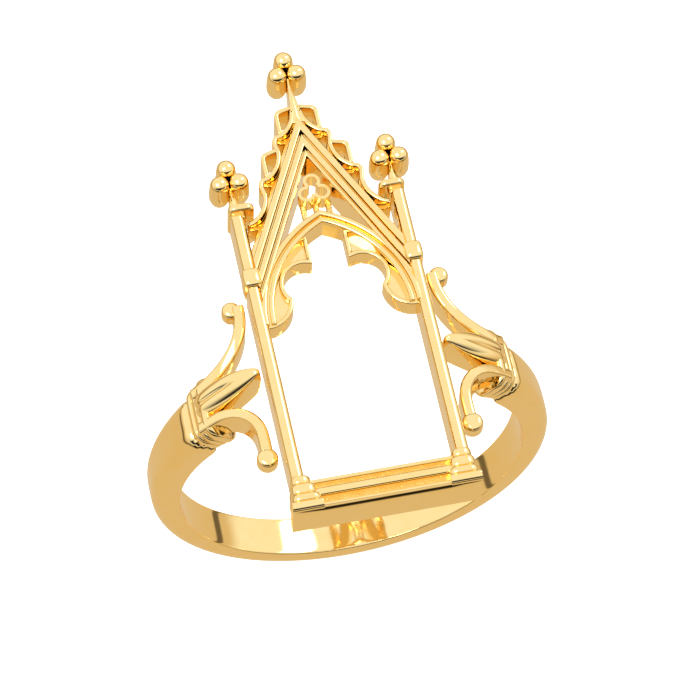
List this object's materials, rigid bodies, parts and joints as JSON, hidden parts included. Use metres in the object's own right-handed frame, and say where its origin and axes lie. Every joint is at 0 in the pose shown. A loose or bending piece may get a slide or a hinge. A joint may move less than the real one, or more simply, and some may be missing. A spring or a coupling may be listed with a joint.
{
  "type": "gothic window ring",
  "caption": "Gold finger ring whose head is an open gabled Gothic window frame on columns, held to the shank by bound leaves and scrolls.",
  "frame": {"origin": "centre of the finger hole, midway across the shank", "axes": "+Y along the finger towards the gable's apex, +Z out through the face of the window, +X to the right as the face is looked at"},
  "size_m": [0.02, 0.0252, 0.021],
  "materials": {
    "polished_gold": "mirror-polished yellow gold"
  },
  "bodies": {
    "root": {"apex_beads": "polished_gold", "apex_spire": "polished_gold", "base_slab": "polished_gold", "left_arch_rib": "polished_gold", "left_binding_lower": "polished_gold", "left_binding_middle": "polished_gold", "left_binding_upper": "polished_gold", "left_capital": "polished_gold", "left_column": "polished_gold", "left_column_base": "polished_gold", "left_crest": "polished_gold", "left_cusping": "polished_gold", "left_knop": "polished_gold", "left_leaf": "polished_gold", "left_lower_scroll": "polished_gold", "left_pinnacle_beads": "polished_gold", "left_rake": "polished_gold", "left_spirelet": "polished_gold", "left_upper_scroll": "polished_gold", "left_upper_shaft": "polished_gold", "right_arch_rib": "polished_gold", "right_binding_lower": "polished_gold", "right_binding_middle": "polished_gold", "right_binding_upper": "polished_gold", "right_capital": "polished_gold", "right_column": "polished_gold", "right_column_base": "polished_gold", "right_crest": "polished_gold", "right_cusping": "polished_gold", "right_knop": "polished_gold", "right_leaf": "polished_gold", "right_lower_scroll": "polished_gold", "right_pinnacle_beads": "polished_gold", "right_rake": "polished_gold", "right_spirelet": "polished_gold", "right_upper_scroll": "polished_gold", "right_upper_shaft": "polished_gold", "ring_shank": "polished_gold", "sill": "polished_gold", "trefoil": "polished_gold", "trefoil_brackets": "polished_gold"}
  },
  "joints": []
}
